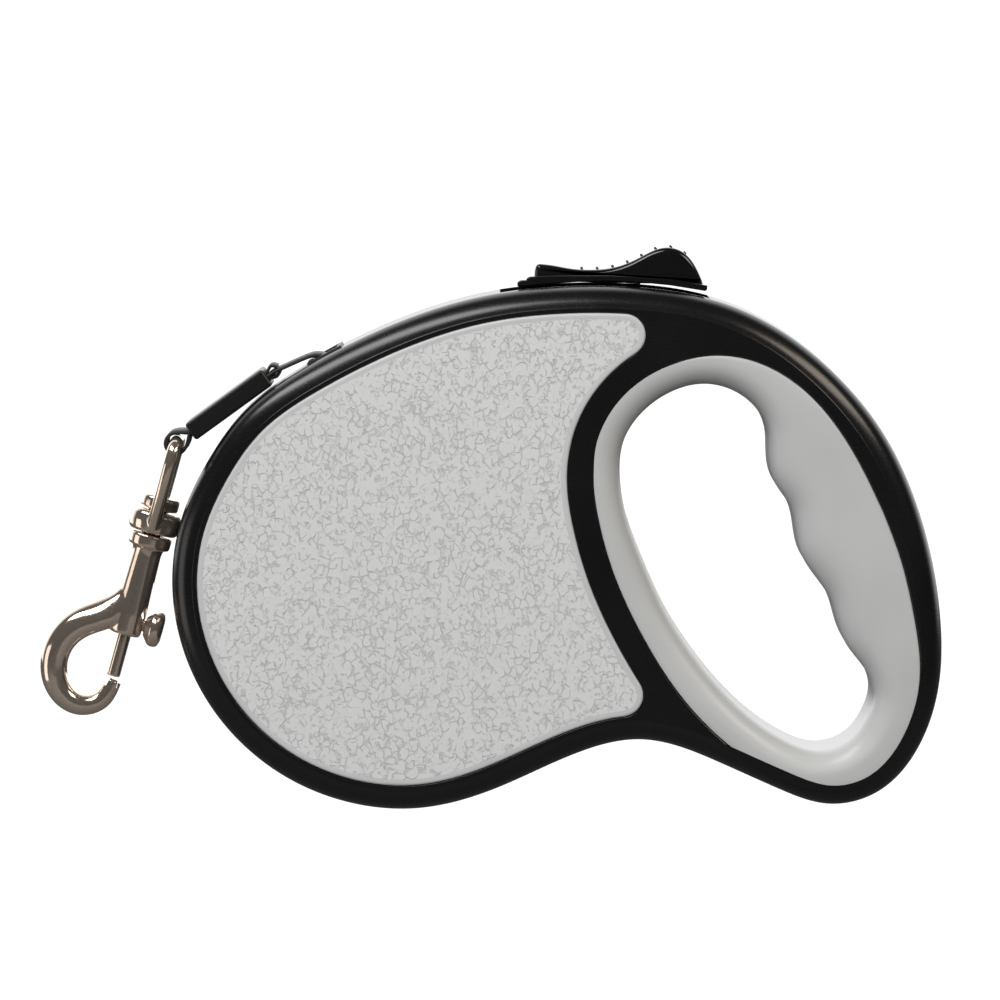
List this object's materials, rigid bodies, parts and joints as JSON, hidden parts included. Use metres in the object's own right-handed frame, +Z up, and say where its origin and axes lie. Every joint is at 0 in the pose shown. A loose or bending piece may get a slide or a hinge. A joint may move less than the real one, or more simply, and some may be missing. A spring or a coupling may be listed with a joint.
{
  "type": "retractable leash",
  "caption": "Retractable tape leash with a kidney-shaped casing, textured side panels, a soft finger-shaped hand loop, a thumb brake and a swivel snap hook.",
  "frame": {"origin": "middle of the hand opening, on the parting plane of the two shells", "axes": "+X from the leash end to the hand end, +Y from the left shell to the right shell, +Z up as the leash is held"},
  "size_m": [0.2117, 0.0334, 0.1323],
  "materials": {
    "black_plastic": "glossy moulded",
    "grey_panel": "leather-grained, satin",
    "grey_grip": "soft-touch satin",
    "screw_steel": "zinc plated",
    "guide_plastic": "moulded acetal",
    "white_plastic": "moulded nylon",
    "black_tape": "woven nylon tape",
    "spring_steel": "tempered spring steel",
    "sleeve_rubber": "smooth moulded",
    "nickel": "nickel plated, polished",
    "nub_rubber": "soft nubs"
  },
  "bodies": {
    "casing": {"left_shell": "black_plastic", "right_shell": "black_plastic", "left_panel": "grey_panel", "right_panel": "grey_panel", "left_grip": "grey_grip", "right_grip": "grey_grip", "casing_screws": "screw_steel", "outlet_guide": "guide_plastic", "spool_axle": "screw_steel", "spring_arbor": "guide_plastic", "left_thrust_washer": "white_plastic", "right_thrust_washer": "white_plastic", "tape_run": "black_tape", "pawl_pin": "screw_steel", "pawl_spring": "spring_steel"},
    "spool": {"spool_drum": "white_plastic", "spool_flange": "white_plastic", "tape_roll": "black_tape", "clock_spring": "spring_steel"},
    "leash_end": {"tape_lead": "black_tape", "tape_sleeve": "sleeve_rubber", "tape_loop": "black_tape"},
    "eye": {"swivel_eye": "nickel"},
    "hook": {"hook_body": "nickel", "gate_spring": "spring_steel"},
    "gate": {"gate_bolt": "nickel"},
    "lock": {"lock_carrier": "guide_plastic", "button_spring": "spring_steel"},
    "button": {"brake_button": "black_plastic", "button_nubs": "nub_rubber"},
    "pawl": {"brake_pawl": "guide_plastic"}
  },
  "joints": [
    {"name": "spool_spin", "type": "hinge", "parent": "casing", "child": "spool", "pos_m": [-0.0834, 0, 0.0014], "axis": [0, -1, 0], "range_deg": [0, 9000], "stiffness_Nm_per_rad": 0.0006, "springref_deg": -6302.54, "deforming": ["clock_spring"]},
    {"name": "tape_pull", "type": "slide", "parent": "casing", "child": "leash_end", "axis": [-0.8102, 0, -0.5861], "range_m": [0, 5.027], "deforming": ["tape_lead"]},
    {"name": "eye_tilt", "type": "hinge", "parent": "leash_end", "child": "eye", "pos_m": [-0.134, 0, 0.0292], "axis": [0, 1, 0], "range_deg": [0, 115]},
    {"name": "hook_swivel", "type": "hinge", "parent": "eye", "child": "hook", "pos_m": [-0.134, 0, 0.0292], "axis": [0.2672, 0, 0.9636], "range_deg": [-100, 100]},
    {"name": "gate_slide", "type": "slide", "parent": "hook", "child": "gate", "axis": [0.2672, 0, 0.9636], "range_m": [0, 0.0065], "stiffness_N_per_m": 150, "springref_m": -0.006, "deforming": ["gate_spring"]},
    {"name": "lock_slide", "type": "slide", "parent": "casing", "child": "lock", "axis": [-1, 0, 0], "range_m": [0, 0.0035]},
    {"name": "brake_press", "type": "slide", "parent": "lock", "child": "button", "axis": [0, 0, -1], "range_m": [0, 0.0025], "stiffness_N_per_m": 900, "springref_m": -0.002, "deforming": ["button_spring"]},
    {"name": "pawl_turn", "type": "hinge", "parent": "casing", "child": "pawl", "pos_m": [-0.047, 0, 0.046], "axis": [0, 1, 0], "range_deg": [0, 9.7], "deforming": ["pawl_spring"]}
  ],
  "couplings": [
    {"joint": "tape_pull", "follows": "spool_spin", "m_per_rad": 0.032},
    {"joint": "pawl_turn", "follows": "brake_press", "rad_per_m": 67.021}
  ]
}
